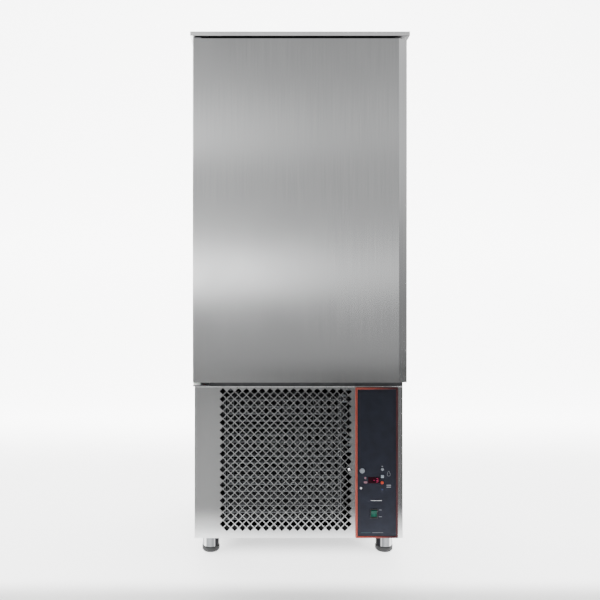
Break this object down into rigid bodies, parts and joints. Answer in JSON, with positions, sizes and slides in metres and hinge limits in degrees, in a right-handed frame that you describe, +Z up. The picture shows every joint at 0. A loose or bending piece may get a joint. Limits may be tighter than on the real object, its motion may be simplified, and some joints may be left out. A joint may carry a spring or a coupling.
{
  "type": "blast chiller",
  "caption": "Tall stainless blast chiller cabinet with a full pull-edge door, perforated lower front, side control fascia and levelling feet.",
  "frame": {"origin": "on the floor under the middle of the cabinet's outline, door shut, feet screwed in", "axes": "+Z up, -Y out of the door, +X to the right of someone facing the door"},
  "size_m": [0.79, 0.8, 1.919],
  "materials": {
    "steel_skin": "vertically brushed stainless sheet",
    "liner_steel": "bright stainless sheet",
    "galvanised": "zinc coated sheet",
    "polished_steel": "polished steel",
    "foam": "rigid insulating foam",
    "seal_rubber": "soft grey seal",
    "black_rubber": "black moulded rubber",
    "nylon": "white nylon",
    "navy_plastic": "matt navy plastic",
    "red_plastic": "satin red plastic",
    "silver_key": "silver painted key",
    "grey_key": "blue grey key",
    "red_key": "red key",
    "display_lens": "smoked red lens",
    "lamp_lens": "small clear lenses",
    "green_lens": "green lit rocker",
    "black_plastic": "black plastic",
    "board": "green circuit board",
    "motor_metal": "cast motor can",
    "fan_aluminium": "pressed aluminium",
    "fin_aluminium": "thin aluminium fins",
    "copper": "copper tube",
    "black_paint": "black painted pressing"
  },
  "bodies": {
    "cabinet": {"base_frame": "galvanised", "cabinet_foam": "foam", "cable_gland": "black_plastic", "compressor": "black_paint", "compressor_mounts": "black_rubber", "condenser_fins": "black_paint", "condenser_shroud": "galvanised", "condenser_tubes": "galvanised", "control_board": "board", "control_box": "galvanised", "control_fascia": "navy_plastic", "deck_plate": "galvanised", "display_window": "display_lens", "drain_pipe": "nylon", "evaporator_cover": "liner_steel", "evaporator_fins": "fin_aluminium", "evaporator_tubes": "copper", "fan_brackets": "galvanised", "fan_guards": "polished_steel", "fan_motors": "motor_metal", "fascia_frame": "red_plastic", "foot_sleeves": "polished_steel", "frame_posts": "galvanised", "front_frame": "black_plastic", "front_grille_panel": "steel_skin", "hinge_bush": "nylon", "hinge_pins": "polished_steel", "hinge_plates": "polished_steel", "indicator_lamps": "lamp_lens", "liner_floor": "liner_steel", "liner_walls": "liner_steel", "rack_uprights": "liner_steel", "rear_panel_lower": "galvanised", "rear_panel_upper": "galvanised", "receiver_and_drier": "black_paint", "refrigerant_lines": "black_rubber", "rocker_bezel": "black_plastic", "side_panel_left": "steel_skin", "side_panel_right": "steel_skin", "top_cap": "steel_skin", "transformer_and_terminals": "black_plastic", "tray_runners_left": "liner_steel", "tray_runners_right": "liner_steel"},
    "door": {"door_outer_skin": "steel_skin", "door_inner_panel": "liner_steel", "door_foam": "foam", "door_gasket": "seal_rubber", "door_hinge_blocks": "polished_steel"},
    "key_start": {"key_start": "silver_key"},
    "key_select": {"key_select": "silver_key"},
    "key_mode": {"key_mode": "grey_key"},
    "key_stop": {"key_stop": "red_key"},
    "rocker": {"rocker": "green_lens"},
    "evaporator_fan_lower": {"evaporator_fan_lower": "fan_aluminium"},
    "evaporator_fan_upper": {"evaporator_fan_upper": "fan_aluminium"},
    "condenser_fan": {"condenser_fan": "fan_aluminium"},
    "foot_front_left": {"foot_front_left": "black_rubber"},
    "foot_front_right": {"foot_front_right": "black_rubber"},
    "foot_rear_left": {"foot_rear_left": "black_rubber"},
    "foot_rear_right": {"foot_rear_right": "black_rubber"}
  },
  "joints": [
    {"name": "door_hinge", "type": "hinge", "parent": "cabinet", "child": "door", "pos_m": [-0.372, -0.378, 0.657], "axis": [0, 0, -1], "range_deg": [0, 105]},
    {"name": "evaporator_fan_lower_spin", "type": "hinge", "parent": "cabinet", "child": "evaporator_fan_lower", "pos_m": [0, 0.1765, 1.0195], "axis": [0, 1, 0], "continuous": true},
    {"name": "evaporator_fan_upper_spin", "type": "hinge", "parent": "cabinet", "child": "evaporator_fan_upper", "pos_m": [0, 0.1765, 1.5195], "axis": [0, 1, 0], "continuous": true},
    {"name": "condenser_fan_spin", "type": "hinge", "parent": "cabinet", "child": "condenser_fan", "pos_m": [-0.057, -0.182, 0.355], "axis": [0, 1, 0], "continuous": true},
    {"name": "key_start_press", "type": "slide", "parent": "cabinet", "child": "key_start", "axis": [0, 1, 0], "range_m": [0, 0.001], "stiffness_N_per_m": 400},
    {"name": "key_select_press", "type": "slide", "parent": "cabinet", "child": "key_select", "axis": [0, 1, 0], "range_m": [0, 0.001], "stiffness_N_per_m": 400},
    {"name": "key_mode_press", "type": "slide", "parent": "cabinet", "child": "key_mode", "axis": [0, 1, 0], "range_m": [0, 0.001], "stiffness_N_per_m": 400},
    {"name": "key_stop_press", "type": "slide", "parent": "cabinet", "child": "key_stop", "axis": [0, 1, 0], "range_m": [0, 0.001], "stiffness_N_per_m": 400},
    {"name": "rocker_tip", "type": "hinge", "parent": "cabinet", "child": "rocker", "pos_m": [0.2792, -0.319, 0.1615], "axis": [-1, 0, 0], "range_deg": [0, 12]},
    {"name": "foot_front_left_level", "type": "slide", "parent": "cabinet", "child": "foot_front_left", "axis": [0, 0, -1], "range_m": [0, 0.03]},
    {"name": "foot_front_right_level", "type": "slide", "parent": "cabinet", "child": "foot_front_right", "axis": [0, 0, -1], "range_m": [0, 0.03]},
    {"name": "foot_rear_left_level", "type": "slide", "parent": "cabinet", "child": "foot_rear_left", "axis": [0, 0, -1], "range_m": [0, 0.03]},
    {"name": "foot_rear_right_level", "type": "slide", "parent": "cabinet", "child": "foot_rear_right", "axis": [0, 0, -1], "range_m": [0, 0.03]}
  ]
}
